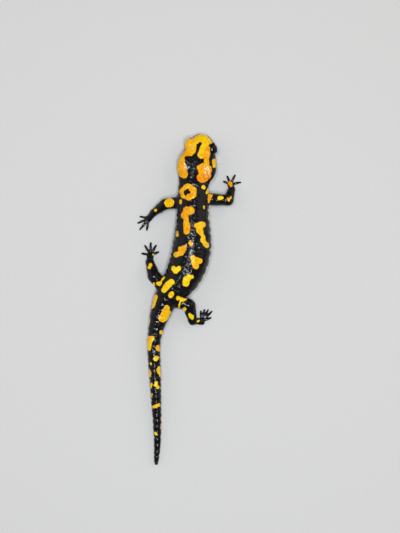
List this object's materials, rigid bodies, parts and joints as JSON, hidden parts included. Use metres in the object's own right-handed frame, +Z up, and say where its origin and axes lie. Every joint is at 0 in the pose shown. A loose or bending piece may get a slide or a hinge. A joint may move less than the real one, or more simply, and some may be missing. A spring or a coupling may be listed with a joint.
{
  "type": "fire salamander",
  "caption": "Life-size fire salamander lying flat with its tail out behind, glossy black with yellow blotches, a still animal model.",
  "frame": {"origin": "on the floor under the middle of the animal's outline", "axes": "+Y towards the head, +X to the animal's right, +Z up"},
  "size_m": [0.0577, 0.1826, 0.0159],
  "materials": {
    "skin": "smooth moist black skin with yellow to orange blotches",
    "eye": "wet and clear over a near-black iris"
  },
  "bodies": {
    "root": {"head": "skin", "lower_jaw": "skin", "neck": "skin", "torso": "skin", "tail_base": "skin", "tail_middle": "skin", "tail_rear": "skin", "tail_tip": "skin", "left_upper_arm": "skin", "left_forearm": "skin", "left_hand": "skin", "right_upper_arm": "skin", "right_forearm": "skin", "right_hand": "skin", "left_thigh": "skin", "left_shin": "skin", "left_foot": "skin", "right_thigh": "skin", "right_shin": "skin", "right_foot": "skin", "left_eye": "eye", "right_eye": "eye"}
  },
  "joints": []
}
